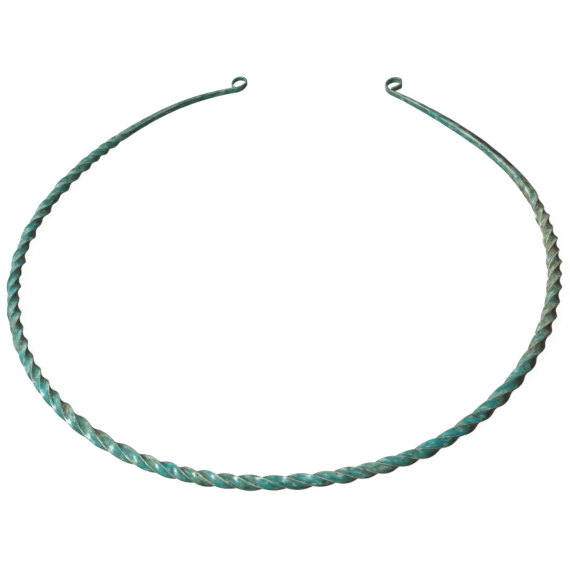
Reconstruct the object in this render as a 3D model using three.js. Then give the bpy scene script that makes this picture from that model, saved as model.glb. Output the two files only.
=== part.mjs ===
// A bronze torc with eyelet ends, lying flat. It is one bar of square section, twisted through
// nearly fifteen turns. Its plain ends are hammered out into thin upright strips, and each strip
// is rolled outward into an open eyelet.
//
// Millimetres, +Z up. The opening between the ends faces +Y. The origin is the middle of the
// bottom of the torc's bounding box.

import * as THREE from "three";

// ---------------------------------------------------------------- driving dimensions

// The middle line of the bar, seen from above, from the tip of the left eyelet round the front
// to the tip of the right one. Each arc is [radius, length]. A positive radius bends to the left,
// round the neck, and a negative one bends to the right, round an eyelet.
const LEFT_EYELET = [[-1.2, 1.5], [-3.5, 4.3], [-2.2, 2.3], [-2.3, 3.5], [-5.1, 5.0], [57, 6.8]];
const LEFT_ARM = [[65, 21], [111, 62], [83, 49.5], [91, 65], [81.5, 42.5]];
const RIGHT_ARM = [[98.5, 53], [49.5, 8], [91, 117], [75, 18.5], [114, 22], [200, 29]];
const RIGHT_EYELET = [
  [90, 7.0], [-4.4, 4.0], [-3.4, 4.5], [-2.8, 2.6], [-1.1, 1.0], [-15, 1.5], [-1.1, 1.0], [-40, 3.6],
];

// Distances below run along the bar from the neck of the left eyelet, where its arm starts.
// Thickness is measured across the ring and height along Z, both before the twist turns them.
const BAR_SIZES = [
  { at: -23.4, thickness: 0.65, height: 1.4 },
  { at: -17, thickness: 0.65, height: 1.7 },
  { at: -13, thickness: 0.65, height: 1.7 },
  { at: -8, thickness: 0.7, height: 2.4 },
  { at: -3, thickness: 0.75, height: 2.4 },
  { at: 5, thickness: 0.95, height: 2.5 },
  { at: 30, thickness: 2.0, height: 2.6 },
  { at: 47, thickness: 3.0, height: 3.0 },
  { at: 65, thickness: 3.3, height: 3.3 },
  { at: 110, thickness: 3.35, height: 3.35 },
  { at: 150, thickness: 3.6, height: 3.6 },
  { at: 190, thickness: 3.9, height: 3.9 },
  { at: 215, thickness: 3.8, height: 3.8 },
  { at: 295, thickness: 3.7, height: 3.7 },
  { at: 330, thickness: 3.9, height: 3.9 },
  { at: 385, thickness: 3.9, height: 3.9 },
  { at: 420, thickness: 3.4, height: 3.4 },
  { at: 440, thickness: 3.1, height: 3.1 },
  { at: 465, thickness: 2.5, height: 3.0 },
  { at: 480, thickness: 1.7, height: 2.7 },
  { at: 496, thickness: 0.75, height: 2.3 },
  { at: 505, thickness: 0.68, height: 2.3 },
  { at: 512.6, thickness: 0.65, height: 2.1 },
];

// The twist: where it starts, the length of bar that each full turn takes, and the part of a
// turn that is left before the right plain end, which leans back upright toward its eyelet.
const TWIST_START = 34;
const TURN_LENGTHS = [23, 24, 24, 23, 26, 25.5, 34, 24.5, 29, 26, 30, 33, 26.5, 22];
const LAST_PART_TURN = { turns: 0.8, length: 21 };
const UPRIGHT_AGAIN = { turns: 0.75, length: 50 };

// The section: how much of a side each blunt corner takes off, and how far the twisted faces
// are drawn in at their middle, both as shares of the side.
const CORNER_CUT = 0.11;
const FACE_HOLLOW = 0.03;
const HOLLOW_FADE = 12;

// The hammered section is not quite square: by this share one diagonal is longer, and the other
// one shorter, than a square's.
const LOZENGE = [
  { at: 33, share: 0 },
  { at: 95, share: 0.1 },
  { at: 185, share: 0 },
  { at: 250, share: 0.035 },
  { at: 320, share: 0.035 },
  { at: 360, share: 0 },
  { at: 420, share: -0.1 },
  { at: 440, share: 0 },
];

// How finely the bar is divided: the most turn, bend and length between two sections.
const MOST_TWIST = 1 / 16;
const MOST_BEND = THREE.MathUtils.degToRad(14);
const MOST_LENGTH = 5;

const PATINATED_BRONZE = { color: 0x66887e, roughness: 0.6, metalness: 0.4 };

// ---------------------------------------------------------------- the middle line

const FULL_TURN = 2 * Math.PI;

function totalLength(arcs) {
  return arcs.reduce((sum, [, length]) => sum + length, 0);
}

function totalBend(arcs) {
  return arcs.reduce((sum, [radius, length]) => sum + length / radius, 0);
}

// The arcs in order, each with the distance, place and heading at its start. The bar heads
// along +X at the front, where the two arms meet.
function layOut(arcs, startDistance, startHeading) {
  const place = new THREE.Vector2(0, 0);
  let distance = startDistance;
  let heading = startHeading;
  return arcs.map(([radius, length]) => {
    const arc = { radius, length, distance, heading, place: place.clone() };
    place.copy(pointOnArc(arc, length));
    distance += length;
    heading += length / radius;
    return arc;
  });
}

function pointOnArc(arc, along) {
  const heading = arc.heading + along / arc.radius;
  return new THREE.Vector2(
    arc.place.x + arc.radius * (Math.sin(heading) - Math.sin(arc.heading)),
    arc.place.y - arc.radius * (Math.cos(heading) - Math.cos(arc.heading)),
  );
}

const LEFT_TIP = -totalLength(LEFT_EYELET);
const RIGHT_TIP = totalLength([...LEFT_ARM, ...RIGHT_ARM, ...RIGHT_EYELET]);
const MIDDLE_LINE = layOut(
  [...LEFT_EYELET, ...LEFT_ARM, ...RIGHT_ARM, ...RIGHT_EYELET],
  LEFT_TIP,
  -totalBend([...LEFT_EYELET, ...LEFT_ARM]),
);

function arcAt(distance) {
  return MIDDLE_LINE.findLast((arc) => distance >= arc.distance) ?? MIDDLE_LINE[0];
}

// ---------------------------------------------------------------- sizes and twist along the bar

// A smooth curve through the rows of a table. The slope at a row is the harmonic mean of the
// slopes on its two sides, and level at a peak or a step, so the curve never overshoots a row.
function smoothValue(rows, key, at) {
  const last = rows.length - 1;
  if (at <= rows[0].at) return rows[0][key];
  if (at >= rows[last].at) return rows[last][key];
  const i = rows.findIndex((row) => row.at > at) - 1;
  const span = rows[i + 1].at - rows[i].at;
  const start = rows[i][key];
  const rise = rows[i + 1][key] - start;
  const leave = slopeAtRow(rows, key, i) * span;
  const arrive = slopeAtRow(rows, key, i + 1) * span;
  const t = (at - rows[i].at) / span;
  return start + t * (leave + t * (3 * rise - 2 * leave - arrive + t * (leave + arrive - 2 * rise)));
}

function slopeAtRow(rows, key, i) {
  if (i === 0 || i === rows.length - 1) return 0;
  const before = (rows[i][key] - rows[i - 1][key]) / (rows[i].at - rows[i - 1].at);
  const after = (rows[i + 1][key] - rows[i][key]) / (rows[i + 1].at - rows[i].at);
  return before * after > 0 ? 2 * before * after / (before + after) : 0;
}

function twistRows() {
  const rows = [{ at: 0, turns: 0 }, { at: TWIST_START, turns: 0 }];
  let at = TWIST_START;
  TURN_LENGTHS.forEach((length, i) => {
    at += length;
    rows.push({ at, turns: i + 1 });
  });
  for (const { turns, length } of [LAST_PART_TURN, UPRIGHT_AGAIN]) {
    at += length;
    rows.push({ at, turns: TURN_LENGTHS.length + turns });
  }
  return rows;
}

const TWIST = twistRows();
const TWIST_END = TWIST[TWIST.length - 2].at;

function turnsAt(distance) {
  return smoothValue(TWIST, "turns", distance);
}

function hollowAt(distance) {
  const fadeIn = THREE.MathUtils.smoothstep(distance, TWIST_START, TWIST_START + HOLLOW_FADE);
  const fadeOut = THREE.MathUtils.smoothstep(distance, TWIST_END - HOLLOW_FADE, TWIST_END);
  return FACE_HOLLOW * (fadeIn - fadeOut);
}

// ---------------------------------------------------------------- one section of the bar

// The outline of the section in its own plane: two points at each blunt corner and one in the
// middle of each face, going round from the outer side toward the top.
function sectionOutline(thickness, height, hollow) {
  const x = thickness / 2;
  const y = height / 2;
  const cut = CORNER_CUT * Math.min(thickness, height);
  const inner = 1 - 2 * hollow;
  return [
    [x * inner, 0], [x, y - cut], [x - cut, y],
    [0, y * inner], [cut - x, y], [-x, y - cut],
    [-x * inner, 0], [-x, cut - y], [cut - x, -y],
    [0, -y * inner], [x - cut, -y], [x, cut - y],
  ];
}

// An odd number of quarter turns lays the section's height across the ring, so past the middle
// of the bar thickness and height change places.
function sectionAt(distance) {
  const arc = arcAt(distance);
  const along = distance - arc.distance;
  const heading = arc.heading + along / arc.radius;
  const place = pointOnArc(arc, along);
  const outward = new THREE.Vector3(Math.sin(heading), -Math.cos(heading), 0);
  const turned = -turnsAt(distance) * FULL_TURN;
  const sizes = ["thickness", "height"].map((key) => smoothValue(BAR_SIZES, key, distance));
  if (distance > (TWIST_START + TWIST_END) / 2) sizes.reverse();
  const lozenge = smoothValue(LOZENGE, "share", distance);
  return sectionOutline(...sizes, hollowAt(distance)).map(([squareX, squareY]) => {
    const x = squareX + lozenge * squareY;
    const y = squareY + lozenge * squareX;
    const across = x * Math.cos(turned) - y * Math.sin(turned);
    const up = x * Math.sin(turned) + y * Math.cos(turned);
    return new THREE.Vector3(place.x, place.y, up).addScaledVector(outward, across);
  });
}

// ---------------------------------------------------------------- the whole bar

// Every arc is divided into equal steps, short enough for its bend, its twist and its length.
function sectionDistances() {
  const distances = MIDDLE_LINE.flatMap(({ distance, length, radius }) => {
    const bend = length / Math.abs(radius);
    const twist = Math.abs(turnsAt(distance + length) - turnsAt(distance));
    const steps = Math.ceil(Math.max(bend / MOST_BEND, twist / MOST_TWIST, length / MOST_LENGTH));
    return Array.from({ length: steps }, (_, i) => distance + (length * i) / steps);
  });
  return [...distances, RIGHT_TIP];
}

// Joins neighbouring sections with two triangles to each side, and closes both tips.
function barGeometry() {
  const sections = sectionDistances().map(sectionAt);
  const around = sections[0].length;
  const triangles = [];
  for (let i = 0; i < sections.length - 1; i += 1) {
    for (let j = 0; j < around; j += 1) {
      const a = i * around + j;
      const b = i * around + (j + 1) % around;
      triangles.push(a, a + around, b, b, a + around, b + around);
    }
  }
  const lastSection = (sections.length - 1) * around;
  for (let j = 1; j < around - 1; j += 1) {
    triangles.push(0, j, j + 1);
    triangles.push(lastSection, lastSection + j + 1, lastSection + j);
  }
  const geometry = new THREE.BufferGeometry().setFromPoints(sections.flat());
  geometry.setIndex(triangles);
  return geometry;
}

function makeTorc() {
  const geometry = barGeometry();
  geometry.computeBoundingBox();
  const { min, max } = geometry.boundingBox;
  geometry.translate(-(min.x + max.x) / 2, -(min.y + max.y) / 2, -min.z);
  geometry.computeVertexNormals();
  const torc = new THREE.Mesh(geometry, new THREE.MeshStandardMaterial(PATINATED_BRONZE));
  torc.name = "torc";
  return torc;
}

const part = new THREE.Group();
part.add(makeTorc());

export default part;
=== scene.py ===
# %% [markdown]
# # A bronze torc
#
# A torc is a stiff open neck ring. This one was forged from a single bronze bar: the smith
# hammered the bar square, gripped one end and twisted it, left both ends plain, beat them out
# into thin strips and rolled each strip into an eyelet for a cord. Long burial then turned the
# metal's skin into a patina of green and blue copper minerals.
#
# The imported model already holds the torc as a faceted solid. Loading it gives the frame: the
# place and size that the finished surface has to keep.

# %% Load the frame

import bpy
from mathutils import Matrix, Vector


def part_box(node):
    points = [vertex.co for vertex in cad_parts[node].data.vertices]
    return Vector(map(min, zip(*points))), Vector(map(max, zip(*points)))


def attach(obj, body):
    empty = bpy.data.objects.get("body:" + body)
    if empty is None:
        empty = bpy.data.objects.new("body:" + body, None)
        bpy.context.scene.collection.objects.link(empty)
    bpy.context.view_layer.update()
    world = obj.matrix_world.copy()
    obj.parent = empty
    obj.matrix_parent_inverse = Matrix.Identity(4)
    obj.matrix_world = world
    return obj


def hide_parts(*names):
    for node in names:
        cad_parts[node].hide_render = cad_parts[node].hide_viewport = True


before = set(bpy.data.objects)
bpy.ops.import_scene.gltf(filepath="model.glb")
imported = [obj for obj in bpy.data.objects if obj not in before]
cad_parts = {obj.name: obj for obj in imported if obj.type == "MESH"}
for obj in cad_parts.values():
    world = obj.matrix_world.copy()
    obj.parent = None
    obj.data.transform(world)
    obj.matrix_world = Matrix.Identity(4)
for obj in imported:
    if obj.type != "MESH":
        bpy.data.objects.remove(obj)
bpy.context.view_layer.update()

# %% [markdown]
# Blender works in metres, and a bar a few millimetres thick is easier to describe in millimetres.
# So every size below is in millimetres, and the mesh is scaled once, when it is built. The box of
# the solid says where the finished bar has to lie.

# %% Tools and the box of the solid

import math

import bpy
import numpy as np
from mathutils import Matrix, Vector, noise

MM = 0.001
torc_low, torc_high = (Vector(corner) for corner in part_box("torc"))
torc_middle = (torc_low + torc_high) / 2
torc_size = torc_high - torc_low
print("the solid measures", [round(side / MM, 2) for side in torc_size], "mm")

# %% [markdown]
# ## The bend of the bar
#
# A bent bar is a *sweep*: a section carried along a middle line. Blender can sweep a curve with a
# bevel object, but a bevel can't change its outline on the way, and this section twists, thins
# and wears as it goes. So the mesh is worked out in code, section by section.
#
# The middle line is a chain of arcs. Each one is a radius and a length in millimetres, as a smith
# would bend it round a former. A positive radius bends round the neck and a negative one bends
# the other way, round an eyelet.

# %% The middle line

LEFT_EYELET = [(-1.2, 1.5), (-3.5, 4.3), (-2.2, 2.3), (-2.3, 3.5), (-5.1, 5.0), (57, 6.8)]
LEFT_ARM = [(65, 21), (111, 62), (83, 49.5), (91, 65), (81.5, 42.5)]
RIGHT_ARM = [(98.5, 53), (49.5, 8), (91, 117), (75, 18.5), (114, 22), (200, 29)]
RIGHT_EYELET = [
    (90, 7.0), (-4.4, 4.0), (-3.4, 4.5), (-2.8, 2.6), (-1.1, 1.0), (-15, 1.5), (-1.1, 1.0), (-40, 3.6),
]

ARCS = np.array(LEFT_EYELET + LEFT_ARM + RIGHT_ARM + RIGHT_EYELET)
ARC_RADII, ARC_LENGTHS = ARCS.T
LEFT_TIP = -sum(length for _, length in LEFT_EYELET)
ARC_STARTS = LEFT_TIP + np.concatenate([[0], np.cumsum(ARC_LENGTHS)])
RIGHT_TIP = ARC_STARTS[-1]


def start_headings():
    """The heading at the start of each arc. It is zero at the front, where the two arms meet."""
    bends = np.concatenate([[0], np.cumsum(ARC_LENGTHS / ARC_RADII)])
    return bends - bends[len(LEFT_EYELET) + len(LEFT_ARM)]


ARC_HEADINGS = start_headings()


def steps_along(arc, along, heading):
    """How far x and y move from the start of an arc of that radius and first heading."""
    radius = ARC_RADII[arc]
    turned = heading + along / radius
    return radius * np.array([np.sin(turned) - np.sin(heading), np.cos(heading) - np.cos(turned)])


ARC_PLACES = np.zeros((2, len(ARCS) + 1))
for arc_number in range(len(ARCS)):
    step = steps_along(arc_number, ARC_LENGTHS[arc_number], ARC_HEADINGS[arc_number])
    ARC_PLACES[:, arc_number + 1] = ARC_PLACES[:, arc_number] + step


def middle_line(distance):
    """Places (2 rows) and headings at distances along the bar, in millimetres and radians."""
    arc = np.clip(np.searchsorted(ARC_STARTS, distance, side="right") - 1, 0, len(ARCS) - 1)
    along = distance - ARC_STARTS[arc]
    heading = ARC_HEADINGS[arc]
    return ARC_PLACES[:, arc] + steps_along(arc, along, heading), heading + along / ARC_RADII[arc]


print("the bar is", round(RIGHT_TIP - LEFT_TIP, 1), "mm long from tip to tip")

# %% [markdown]
# ## Thickness and twist
#
# Hand work drifts, so the bar's size and the length of each turn change along it. Short tables
# hold them, with a smooth curve drawn through their rows. The curve takes the harmonic mean of the
# slopes on both sides of a row: it never swings past a value, as a plain spline would.

# %% Sizes and twist along the bar


def smooth_value(rows, distance):
    """A smooth curve through rows of (distance, value), level at peaks and at both ends."""
    x, y = np.array(rows, dtype=float).T
    slopes = np.diff(y) / np.diff(x)
    before, after = slopes[:-1], slopes[1:]
    leaving = np.zeros(len(x))
    climbing = before * after > 0
    leaving[1:-1][climbing] = 2 * (before * after)[climbing] / (before + after)[climbing]
    at = np.clip(distance, x[0], x[-1])
    row = np.clip(np.searchsorted(x, at, side="right") - 1, 0, len(x) - 2)
    span = x[row + 1] - x[row]
    t = (at - x[row]) / span
    rise = y[row + 1] - y[row]
    leave, arrive = leaving[row] * span, leaving[row + 1] * span
    return y[row] + t * (leave + t * (3 * rise - 2 * leave - arrive + t * (leave + arrive - 2 * rise)))


# Each row is a distance along the bar from the neck of the left eyelet, the thickness across the
# ring and the height along Z, both before the twist turns them.
BAR_SIZES = [
    (-23.4, 0.65, 1.4), (-17, 0.65, 1.7), (-13, 0.65, 1.7), (-8, 0.7, 2.4), (-3, 0.75, 2.4),
    (5, 0.95, 2.5), (30, 2.0, 2.6), (47, 3.0, 3.0), (65, 3.3, 3.3), (110, 3.35, 3.35),
    (150, 3.6, 3.6), (190, 3.9, 3.9), (215, 3.8, 3.8), (295, 3.7, 3.7), (330, 3.9, 3.9),
    (385, 3.9, 3.9), (420, 3.4, 3.4), (440, 3.1, 3.1), (465, 2.5, 3.0), (480, 1.7, 2.7),
    (496, 0.75, 2.3), (505, 0.68, 2.3), (512.6, 0.65, 2.1),
]
TWIST_START = 34
TURN_LENGTHS = [23, 24, 24, 23, 26, 25.5, 34, 24.5, 29, 26, 30, 33, 26.5, 22]
LAST_PART_TURN = (0.8, 21)
UPRIGHT_AGAIN = (0.75, 50)

# By this share one diagonal of the hammered section is longer than a square's.
LOZENGE = [
    (33, 0), (95, 0.1), (185, 0), (250, 0.035), (320, 0.035), (360, 0), (420, -0.1), (440, 0),
]

TWIST = [(0, 0), (TWIST_START, 0)]
for turns_done, turn_length in enumerate(TURN_LENGTHS, start=1):
    TWIST.append((TWIST[-1][0] + turn_length, turns_done))
for part_turn, part_length in (LAST_PART_TURN, UPRIGHT_AGAIN):
    TWIST.append((TWIST[-1][0] + part_length, len(TURN_LENGTHS) + part_turn))
TWIST_END = TWIST[-2][0]
print("the bar turns", TWIST[-2][1], "times between", TWIST_START, "and", TWIST_END, "mm")

# %% [markdown]
# ## The section
#
# The section is a square with rounded crests and slightly drawn-in faces. Its forty points are
# not evenly spread: five of them go round each crest, where the light breaks sharply, and five
# lie across each face. The hammered strips at the ends have rounder edges and flat faces.
#
# Python loops over single points are slow, so numpy works on whole arrays: one row for each
# section, one column for each point round it.

# %% The outline of every section

FINE_STEP = 0.15
PLAIN_STEP = 0.235
CREST_POINTS = 5
FACE_POINTS = 5
CREST_SHARE = 0.09
STRIP_CREST_SHARE = 0.3
FACE_HOLLOW = 0.035
FACE_SHARE = 0.965
HOLLOW_FADE = 12
CREST_HALF_PLACE = 0.08
QUARTERS = [(1, 1), (-1, 1), (-1, -1), (1, -1)]


def section_distances():
    """Where the sections stand: close together in the eyelets, a little wider elsewhere."""
    left_neck, right_neck = 0, RIGHT_TIP - sum(length for _, length in RIGHT_EYELET)
    stretches = [(LEFT_TIP, left_neck, FINE_STEP), (left_neck, right_neck, PLAIN_STEP),
                 (right_neck, RIGHT_TIP, FINE_STEP)]
    parts = [np.linspace(start, end, round((end - start) / pace), endpoint=False)
             for start, end, pace in stretches]
    return np.concatenate([*parts, [RIGHT_TIP]])


def fade(distance, start, end):
    """0 before start, 1 after end, smooth between."""
    t = np.clip((distance - start) / (end - start), 0, 1)
    return t * t * (3 - 2 * t)


distances = section_distances()
sections = len(distances)
in_twist = (fade(distances, TWIST_START, TWIST_START + HOLLOW_FADE)
            - fade(distances, TWIST_END - HOLLOW_FADE, TWIST_END))
size_rows = np.array(BAR_SIZES)
half_across = smooth_value(size_rows[:, [0, 1]], distances) / 2
half_up = smooth_value(size_rows[:, [0, 2]], distances) / 2
past_middle = distances > (TWIST_START + TWIST_END) / 2
drawn_in = 1 - (1 - FACE_SHARE) * in_twist
half_x = (np.where(past_middle, half_up, half_across) * drawn_in)[:, None]
half_y = (np.where(past_middle, half_across, half_up) * drawn_in)[:, None]
crest_share = STRIP_CREST_SHARE + (CREST_SHARE - STRIP_CREST_SHARE) * in_twist[:, None]
crest_radius = 2 * crest_share * np.minimum(half_x, half_y)
hollow = 2 * FACE_HOLLOW * in_twist[:, None] * np.minimum(half_x, half_y)


def outline():
    """Points round every section, and each point's place: 0 to 4 round it, whole at a crest."""
    crest_turn = np.linspace(0, math.pi / 2, CREST_POINTS)
    face_share = np.arange(1, FACE_POINTS + 1) / (FACE_POINTS + 1)
    xs, ys, places = [], [], []
    for quarter, (side_x, side_y) in enumerate(QUARTERS):
        turn = crest_turn + quarter * math.pi / 2
        xs.append(side_x * (half_x - crest_radius) + crest_radius * np.cos(turn))
        ys.append(side_y * (half_y - crest_radius) + crest_radius * np.sin(turn))
        places.append(quarter + np.linspace(-CREST_HALF_PLACE, CREST_HALF_PLACE, CREST_POINTS))
        next_x, next_y = QUARTERS[(quarter + 1) % 4]
        end = turn[-1]
        start_x, start_y = xs[-1][:, -1:], ys[-1][:, -1:]
        end_x = next_x * (half_x - crest_radius) + crest_radius * math.cos(end)
        end_y = next_y * (half_y - crest_radius) + crest_radius * math.sin(end)
        dip = hollow * (1 - (2 * face_share - 1) ** 2)
        xs.append(start_x + (end_x - start_x) * face_share - dip * math.cos(end))
        ys.append(start_y + (end_y - start_y) * face_share - dip * math.sin(end))
        places.append(quarter + CREST_HALF_PLACE + (1 - 2 * CREST_HALF_PLACE) * face_share)
    return np.concatenate(xs, axis=1), np.concatenate(ys, axis=1), np.concatenate(places)


square_x, square_y, round_place = outline()
lozenge = smooth_value(LOZENGE, distances)[:, None]
section_x = square_x + lozenge * square_y
section_y = square_y + lozenge * square_x
around = len(round_place)
print(sections, "sections of", around, "points")

# %% [markdown]
# ## Hammer marks, wear and corrosion
#
# A perfect twist looks machined. Real crests were knocked down unevenly, the faces keep hammer
# marks and drawn-out folds that wind round with the twist, and corrosion left small pits. All of
# it is noise, and the choice that matters is the space in which the noise is read. Reading it in
# the bar's own untwisted space, with the length squeezed, makes every mark follow the twist.

# %% Wear the surface

CREST_WEAR = 0.13
CREST_WEAR_LENGTH = 5
HAMMER_DEPTH = 0.07
HAMMER_SIZE = 3.5
FOLD_DEPTH = 0.07
FOLD_WIDTH = 0.9
FOLD_LENGTH = 14
FOLD_SHARPNESS = 6
PIT_DEPTH = 0.05
PIT_SIZE = 0.7
NOISE_APART = {"crest": 7.3, "hammer": 40, "fold": 90, "pit": 70}
MORE_WEAR = 0.2
MORE_HAMMER = 0.3
FEWER_PITS = 0.1


def noise_field(x, y, z):
    """Perlin noise, about -1 to 1, at every point of three arrays of the same shape."""
    points = np.stack([np.ravel(x), np.ravel(y), np.ravel(z)], axis=1)
    return np.array([noise.noise(point) for point in points.tolist()]).reshape(np.shape(x))


def outward_normals(x, y):
    """Unit normals of closed outlines whose points run anticlockwise along each row."""
    along_x = np.roll(x, -1, axis=1) - np.roll(x, 1, axis=1)
    along_y = np.roll(y, -1, axis=1) - np.roll(y, 1, axis=1)
    length = np.hypot(along_x, along_y)
    return along_y / length, -along_x / length


along = np.repeat(distances[:, None], around, axis=1)
whole = np.round(round_place)
crestness = 1 - 2 * np.abs(round_place - whole)
crest_number = np.broadcast_to(whole % 4, along.shape)
worn = noise_field(along / CREST_WEAR_LENGTH, NOISE_APART["crest"] * crest_number, 0 * along)
hammered = noise_field(
    section_x / HAMMER_SIZE, section_y / HAMMER_SIZE + NOISE_APART["hammer"], along / HAMMER_SIZE)
folds = noise_field(
    section_x / FOLD_WIDTH, section_y / FOLD_WIDTH, along / FOLD_LENGTH + NOISE_APART["fold"])
pits = noise_field(
    section_x / PIT_SIZE, section_y / PIT_SIZE + NOISE_APART["pit"], along / PIT_SIZE)

# A fold is a narrow groove where its noise crosses zero. It fades out before a crest.
grooves = np.clip(1 - FOLD_SHARPNESS * np.abs(folds), 0, 1) ** 2
inward = (
    CREST_WEAR * np.clip(worn + MORE_WEAR, 0, 1) * crestness ** 4
    + HAMMER_DEPTH * np.clip(hammered + MORE_HAMMER, 0, 1)
    + FOLD_DEPTH * grooves * (1 - crestness ** 4)
    + PIT_DEPTH * np.clip(pits - FEWER_PITS, 0, 1)
)

# The marks grow shallower where the bar is thinner.
room = np.minimum(half_x, half_y) / half_x[sections // 2]
normal_x, normal_y = outward_normals(section_x, section_y)
section_x = section_x - inward * room * normal_x
section_y = section_y - inward * room * normal_y
print("the deepest mark is", round(float((inward * room).max()), 2), "mm")

# %% [markdown]
# ## From sections to a mesh
#
# Every section is turned by the twist and set square to the middle line. Neighbouring sections
# are joined with quads. The tips are drawn in over the last fraction of a millimetre and closed
# with one face each. The mesh is then centred on the box of the solid that it replaces.

# %% Build the bar

TIP_ROUNDING = 0.25
TIP_NARROWING = 0.75


def turned_places():
    """The points of every section in space, in millimetres."""
    from_tip = np.clip(np.minimum(distances - LEFT_TIP, RIGHT_TIP - distances) / TIP_ROUNDING, 0, 1)
    rounding = np.sqrt(1 - (1 - from_tip) ** 2 * TIP_NARROWING)[:, None]
    turned = -smooth_value(TWIST, distances)[:, None] * 2 * math.pi
    across = rounding * (section_x * np.cos(turned) - section_y * np.sin(turned))
    up = rounding * (section_x * np.sin(turned) + section_y * np.cos(turned))
    (x, y), heading = middle_line(distances)
    return np.stack([x[:, None] + across * np.sin(heading)[:, None],
                     y[:, None] - across * np.cos(heading)[:, None], up], axis=2)


def centred_on_solid(places):
    """Moves the points so that the middle of their box's bottom is that of the solid."""
    low, high = places.min(axis=(0, 1)), places.max(axis=(0, 1))
    bottom = np.array([(low[0] + high[0]) / 2, (low[1] + high[1]) / 2, low[2]])
    return (places - bottom) * MM + np.array([torc_middle.x, torc_middle.y, torc_low.z])


def sweep_faces():
    """Quads between neighbouring sections, and one face over each tip."""
    rows = np.arange(sections - 1)[:, None] * around
    here = rows + np.arange(around)
    beside = rows + (np.arange(around) + 1) % around
    quads = np.stack([here, here + around, beside + around, beside], axis=2).reshape(-1, 4)
    last = (sections - 1) * around
    return quads.tolist() + [list(range(around)), list(range(last + around - 1, last - 1, -1))]


places = centred_on_solid(turned_places())
bar_mesh = bpy.data.meshes.new("twisted_bar")
bar_mesh.from_pydata(places.reshape(-1, 3).tolist(), [], sweep_faces())
bar_mesh.shade_smooth()
bar = bpy.data.objects.new("twisted_bar", bar_mesh)
bpy.context.collection.objects.link(bar)
print("the bar has", len(bar_mesh.polygons), "faces")

# %% [markdown]
# ## What the material has to know
#
# A procedural material can only react to what the surface tells it, so the mesh stores facts at
# every point: its place in the untwisted bar, so that streaks wind with the twist; how near it is
# to a crest; how much brown painted shade it gets, more where it faces away from the key softbox;
# and how much khaki, blue and bare metal, whose pale tone also paints glints on the crests, that
# stretch of the bar shows. Tables of (distance, share) rows hold the shares, because no rule
# explains where a patina turned blue. A share below zero keeps a colour away.
#
# On the right plain end the two long faces differ: the top one gets more brown painted shade, the
# inner one is bluer.

# %% Store the bar's own coordinates

KHAKI = [(-23, 0.4), (0, 0.25), (40, 0.25), (90, 0.2), (150, 0.4), (175, 0.5), (215, 0.45),
         (270, 0.35), (330, 0.4), (365, 0.7), (420, 0.75), (440, 0.5), (500, 0.5)]
BLUE = [(-23, 0.2), (30, 0.1), (110, 0.3), (140, 0.5), (200, 0.5), (240, 0.45), (300, 0.6),
        (350, 0.6), (372, 0.3), (425, 0.2), (440, 0.4), (500, 0.3)]
# Share of bare bronze along the bar; where it shows, its pale tone also paints glints on the crests.
BARE_AND_GLINT = [(0, -0.5), (330, -0.5), (362, 0.5), (408, 0.7), (416, 0.2), (424, -0.4), (445, 0.0),
        (480, 0.05), (500, -0.4)]
# Brown painted shade: a share along the bar, to which the settings below add more where a point faces
# away from the key softbox and on the top face of the right plain end.
BROWN_SHADE_ALONG = [(-23, -0.25), (0, -0.15), (180, -0.15), (250, 0.0), (310, 0.2), (410, 0.2),
        (440, 0.0), (505, -0.25)]
KEY_LIT_SIDE = Vector((-0.6, -0.45, 0.65)).normalized()
SHADE_BY_SIDE = 0.7
RIGHT_END = (425, 445)
SHADE_ON_TOP = 1.4
SHADE_ON_TOP_FROM = 0.3
SHADE_ON_TOP_FULL = 0.8
BLUE_INSIDE = 0.8


def point_normals():
    """The unit normal at every point, one row for each section."""
    normals = np.empty(len(bar_mesh.vertices) * 3, dtype=np.float32)
    bar_mesh.vertex_normals.foreach_get("vector", normals)
    return normals.reshape(sections, around, 3)


def store(name, kind, values):
    """Adds one value for each point of the bar."""
    attribute = bar_mesh.attributes.new(name, kind, "POINT")
    field = "vector" if kind == "FLOAT_VECTOR" else "value"
    attribute.data.foreach_set(field, np.ascontiguousarray(values, dtype=np.float32).ravel())


normals = point_normals()
upward = normals[:, :, 2]
on_right_end = fade(along, *RIGHT_END)
on_top = np.clip(upward, SHADE_ON_TOP_FROM, SHADE_ON_TOP_FULL) - SHADE_ON_TOP_FROM
# Painted shade: brown grows the more a point faces away from the key softbox, and on the upward faces
# of the right plain end.
shade_by_facing = SHADE_BY_SIDE * (-normals @ np.array(KEY_LIT_SIDE)) + SHADE_ON_TOP * on_right_end * on_top

store("bar_place", "FLOAT_VECTOR", np.stack([section_x, section_y, along], axis=2))
store("crest", "FLOAT", np.broadcast_to(crestness, along.shape))
store("brown_painted_shade", "FLOAT", shade_by_facing + smooth_value(BROWN_SHADE_ALONG, along))
store("khaki", "FLOAT", smooth_value(KHAKI, along))
store("blue", "FLOAT", smooth_value(BLUE, along) + BLUE_INSIDE * on_right_end * (0.5 - upward))
store("bare_and_glint", "FLOAT", smooth_value(BARE_AND_GLINT, along))
print("stored", [attribute.name for attribute in bar_mesh.attributes])

# %% [markdown]
# ## The patina
#
# Buried bronze grows a skin in layers: brown cuprite on the metal, green malachite over it, and a
# bluer, chloride-rich bloom in the hollows. A brown painted shade darkens the sides turned away from
# the key softbox, the crests are painted pale, partly as wear and partly as a painted highlight, and
# wax from the conservator gives a soft gloss.
#
# Every layer is laid in the same way: a noise says where, and a smooth step turns it into a share
# of the colour. So a few small functions are enough for the whole recipe. The first two turn a
# colour into the linear values that the renderer works with, and add a node of any kind together
# with its settings and links.

# %% Helpers for materials


def linear(hex_colour):
    """An sRGB colour such as "#2F8D80" as linear RGBA."""
    channels = [int(hex_colour[i:i + 2], 16) / 255 for i in (1, 3, 5)]
    return [c / 12.92 if c <= 0.04045 else ((c + 0.055) / 1.055) ** 2.4 for c in channels] + [1]


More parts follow.
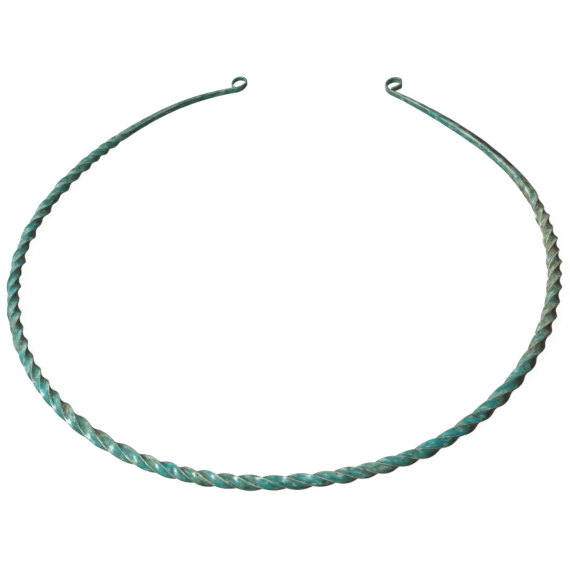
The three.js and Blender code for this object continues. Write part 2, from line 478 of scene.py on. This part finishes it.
def add(tree, kind, inputs=(), **settings):
    """Adds a node. inputs maps a socket's name or number to a value or to another node's output."""
    node = tree.nodes.new(kind)
    for name, value in settings.items():
        setattr(node, name, value)
    for name, value in dict(inputs).items():
        if isinstance(value, bpy.types.NodeSocket):
            tree.links.new(value, node.inputs[name])
        else:
            node.inputs[name].default_value = value
    return node


# %% [markdown]
# The pattern is read in the bar's own millimetres, so a spot has a real size. Stretching it along
# the bar draws it out, as the twist draws out a scratch. The seed moves it to a fresh place in the
# endless noise, so that no two layers show the same spots.

# %% A pattern in the bar's own space

bronze = bpy.data.materials.new("patinated_bronze")
bronze.use_nodes = True
skin = bronze.node_tree
skin.nodes.clear()
stored = {name: add(skin, "ShaderNodeAttribute", attribute_name=name).outputs["Fac"]
          for name in ("crest", "brown_painted_shade", "khaki", "blue", "bare_and_glint")}
bar_place = add(skin, "ShaderNodeAttribute", attribute_name="bar_place").outputs["Vector"]
NOISE_ROUGHNESS = 0.6


def spots(size, stretch, detail, seed):
    """Noise from 0 to 1 with spots of that size in millimetres, stretched along the bar."""
    scaled = add(skin, "ShaderNodeVectorMath", operation="MULTIPLY", inputs={
        0: bar_place, 1: (1 / size, 1 / size, 1 / (size * stretch))}).outputs[0]
    moved = add(skin, "ShaderNodeVectorMath", operation="ADD", inputs={
        0: scaled, 1: (seed, seed, seed)}).outputs[0]
    return add(skin, "ShaderNodeTexNoise", inputs={
        "Vector": moved, "Scale": 1.0, "Detail": detail,
        "Roughness": NOISE_ROUGHNESS}).outputs["Fac"]


# %% [markdown]
# Where a layer lies often depends on more than noise, such as being near a crest. A weighed sum
# brings such facts together, and the layer's limits are then set for that sum: a wide gap between
# low and high gives a soft edge, and a narrow one a crisp edge.

# %% A layer of colour


def weighed(*terms):
    """The sum of (value, weight) pairs."""
    total = 0.0
    for value, weight in terms:
        total = add(skin, "ShaderNodeMath", operation="MULTIPLY_ADD", inputs={
            0: value, 1: weight, 2: total}).outputs[0]
    return total


def lay(over, under, where, low, high, most=1.0):
    """Lays colour over on colour under: nowhere below low, and with a share of most above high.

    Returns the new colour, and the share that over has of it.
    """
    share = add(skin, "ShaderNodeMapRange", interpolation_type="SMOOTHSTEP", inputs={
        "Value": where, "From Min": low, "From Max": high, "To Max": most}).outputs["Result"]
    mixed = add(skin, "ShaderNodeMix", data_type="RGBA", inputs={0: share, 6: under, 7: over})
    return mixed.outputs[2], share


# %% [markdown]
# The green of malachite comes in two depths. The blue bloom keeps off the crests, and the khaki
# film of soil minerals is itself mottled.

# %% Green, blue and khaki

colour, _ = lay(
    linear("#478D83"), linear("#23665B"), low=0.38, high=0.62,
    where=spots(size=2.0, stretch=2.0, detail=4.0, seed=0.0))
blue, _ = lay(
    linear("#159A9A"), linear("#0B7A7C"), low=0.4, high=0.6,
    where=spots(size=1.8, stretch=1.5, detail=3.0, seed=53.0))
colour, _ = lay(blue, colour, low=0.48, high=0.78, where=weighed(
    (spots(size=3.5, stretch=1.8, detail=2.0, seed=17.0), 1.0),
    (stored["crest"], -0.3), (stored["blue"], 0.5)))
khaki, _ = lay(
    linear("#859A84"), linear("#56664A"), low=0.4, high=0.6,
    where=spots(size=1.0, stretch=1.5, detail=3.0, seed=5.0))
colour, _ = lay(khaki, colour, low=0.62, high=0.9, where=weighed(
    (spots(size=4.0, stretch=1.8, detail=5.0, seed=31.0), 1.0),
    (stored["crest"], 0.06), (stored["khaki"], 0.4)))

# %% [markdown]
# Smaller marks follow: dark streaks drawn out by the twist, pale powdery bloom, pale crests that are
# partly wear and partly a painted highlight, and brown painted shade on the sides turned away from
# the key softbox. Last comes bare bronze, in short stretches of crest only, so its limits are narrow;
# its pale tone also paints glints on those crests. A patina is a mineral, not a metal: only the
# share of bare bronze raises the metallic value.

# %% Marks, painted shade, painted highlight and bare bronze

METAL_WHERE_BARE = 0.7

colour, _ = lay(
    linear("#24302A"), colour, low=0.5, high=0.68, most=0.65,
    where=spots(size=1.0, stretch=2.5, detail=4.0, seed=23.0))
colour, _ = lay(
    linear("#AFC9C2"), colour, low=0.52, high=0.7, most=0.6,
    where=spots(size=1.3, stretch=1.6, detail=4.0, seed=11.0))
# Painted highlight along every crest, partly also wear: a pale colour laid near the crests.
colour, _ = lay(linear("#BDD6D0"), colour, low=1.12, high=1.3, most=0.6, where=weighed(
    (spots(size=1.5, stretch=3.0, detail=3.0, seed=83.0), 0.5), (stored["crest"], 1.0)))
# Brown painted shade: dark brown laid where that share, mottled by noise, is high.
colour, _ = lay(linear("#322C1D"), colour, low=0.36, high=0.6, most=0.85, where=weighed(
    (spots(size=2.5, stretch=1.5, detail=4.0, seed=97.0), 0.6), (stored["brown_painted_shade"], 1.0)))
# Bare bronze on short stretches of crest; its pale tone also paints glints there.
colour, bare_and_glint = lay(linear("#E0CDBA"), colour, low=1.83, high=1.98, where=weighed(
    (spots(size=1.5, stretch=2.0, detail=3.0, seed=47.0), 1.4),
    (stored["crest"], 1.0), (stored["bare_and_glint"], 0.5)))

# %% [markdown]
# The gloss of the wax varies over a millimetre or two, and a thin clear coat stands for the wax
# itself. Relief finer than the mesh, a few hundredths of a millimetre deep, is left to a bump.

# %% Gloss, relief and the finished bronze

BUMP_DEPTH = 0.15 * MM
BUMP_STRENGTH = 0.4
WAX_WEIGHT = 0.5
WAX_ROUGHNESS = 0.2

roughness = add(skin, "ShaderNodeMapRange", inputs={
    "Value": spots(size=1.5, stretch=1.5, detail=3.0, seed=61.0),
    "From Min": 0.3, "From Max": 0.7, "To Min": 0.3, "To Max": 0.6}).outputs["Result"]
relief = weighed(
    (spots(size=0.45, stretch=3.0, detail=4.0, seed=3.0), 0.6),
    (spots(size=0.9, stretch=1.0, detail=5.0, seed=71.0), 1.0))
bump = add(skin, "ShaderNodeBump", inputs={
    "Height": relief, "Strength": BUMP_STRENGTH, "Distance": BUMP_DEPTH}).outputs["Normal"]
shader = add(skin, "ShaderNodeBsdfPrincipled", inputs={
    "Base Color": colour, "Metallic": weighed((bare_and_glint, METAL_WHERE_BARE)),
    "Roughness": roughness, "Normal": bump,
    "Coat Weight": WAX_WEIGHT, "Coat Roughness": WAX_ROUGHNESS}).outputs["BSDF"]
add(skin, "ShaderNodeOutputMaterial", inputs={"Surface": shader})

bar_mesh.materials.append(bronze)
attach(bar, "root")
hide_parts("torc")
print("finished the bar in", bronze.name, "with", len(skin.nodes), "nodes")

# %% [markdown]
# ## Floor, light and camera
#
# The torc lies on a plain white card. A real studio lights the card on its own, so that it stays
# white and shadows stay faint. Here a little glow does that, and the card is hidden from diffuse
# and glossy rays, so that it doesn't throw light up under the torc.

# %% The floor

FLOOR_SPAN = 4.0
FLOOR_GLOW = 0.96


def white_card():
    """Matt card that also glows a little."""
    material = bpy.data.materials.new("matt_white_card")
    material.use_nodes = True
    tree = material.node_tree
    tree.nodes.clear()
    matt = add(tree, "ShaderNodeBsdfDiffuse", inputs={"Color": linear("#606060")}).outputs[0]
    glow = add(tree, "ShaderNodeEmission", inputs={
        "Color": linear("#FFFFFF"), "Strength": FLOOR_GLOW}).outputs[0]
    both = add(tree, "ShaderNodeAddShader", inputs={0: matt, 1: glow}).outputs[0]
    add(tree, "ShaderNodeOutputMaterial", inputs={"Surface": both})
    return material


def pale_floor():
    """One flat quad under the torc, far larger than the view."""
    half = FLOOR_SPAN / 2
    mesh = bpy.data.meshes.new("floor")
    corners = [(-half, -half), (half, -half), (half, half), (-half, half)]
    mesh.from_pydata([(x, y, torc_low.z) for x, y in corners], [], [(0, 1, 2, 3)])
    mesh.materials.append(white_card())
    card = bpy.data.objects.new("floor", mesh)
    bpy.context.collection.objects.link(card)
    card.visible_diffuse = False
    card.visible_glossy = False
    return card


floor = pale_floor()

# %% [markdown]
# One small softbox, high on the front left, does most of the work: the twist's faces brighten
# where they turn toward it and fall dark on the other side, and its reflection puts a glint in
# each hollow face. A broad, weaker softbox at the back left keeps the far arms readable, and a
# dim warm world leaves the sides turned away brown rather than black.

# %% The lights

LIGHT_DISTANCE = 0.9
WORLD_STRENGTH = 0.22


def softbox(name, direction, height, width, power):
    """A white area light that looks at the torc from that direction."""
    light = bpy.data.lights.new(name, "AREA")
    light.shape = "RECTANGLE"
    light.size = width
    light.size_y = height
    light.energy = power
    box = bpy.data.objects.new(name, light)
    toward_light = Vector(direction).normalized()
    box.location = torc_middle + toward_light * LIGHT_DISTANCE
    box.rotation_euler = toward_light.to_track_quat("Z", "Y").to_euler()
    bpy.context.collection.objects.link(box)


softbox("key_softbox", direction=(-0.55, -0.5, 0.7), height=0.4, width=0.4, power=9.5)
softbox("left_fill", direction=(-0.8, 0.6, 0.4), height=0.6, width=0.9, power=3.5)
world = bpy.data.worlds.new("studio")
bpy.context.scene.world = world
world.use_nodes = True
world_light = world.node_tree.nodes["Background"]
world_light.inputs["Color"].default_value = linear("#FFE9D0")
world_light.inputs["Strength"].default_value = WORLD_STRENGTH

# %% [markdown]
# A long lens from more than half a metre keeps the ring's far side nearly as large as its near
# side. The camera looks down at about 46 degrees and a little from the right, and leans slightly.

# %% The camera

CAMERA_AZIMUTH = math.radians(11.70)
CAMERA_ELEVATION = math.radians(45.94)
CAMERA_ROLL = math.radians(-5.0)
CAMERA_DISTANCE = 0.65
CAMERA_LENS = 127.4
SENSOR_WIDTH = 36
AIM_OFFSET = Vector((1.61, -10.16, 0)) * MM

camera_data = bpy.data.cameras.new("camera")
camera_data.lens = CAMERA_LENS
camera_data.sensor_width = SENSOR_WIDTH
camera = bpy.data.objects.new("camera", camera_data)
away = Vector((
    math.sin(CAMERA_AZIMUTH) * math.cos(CAMERA_ELEVATION),
    -math.cos(CAMERA_AZIMUTH) * math.cos(CAMERA_ELEVATION),
    math.sin(CAMERA_ELEVATION),
))
level = away.to_track_quat("Z", "Y").to_matrix()
camera.matrix_world = (
    Matrix.Translation(torc_middle + AIM_OFFSET + away * CAMERA_DISTANCE)
    @ (level @ Matrix.Rotation(CAMERA_ROLL, 3, "Z")).to_4x4()
)
bpy.context.collection.objects.link(camera)
bpy.context.scene.camera = camera
bpy.context.scene.view_settings.view_transform = "Standard"
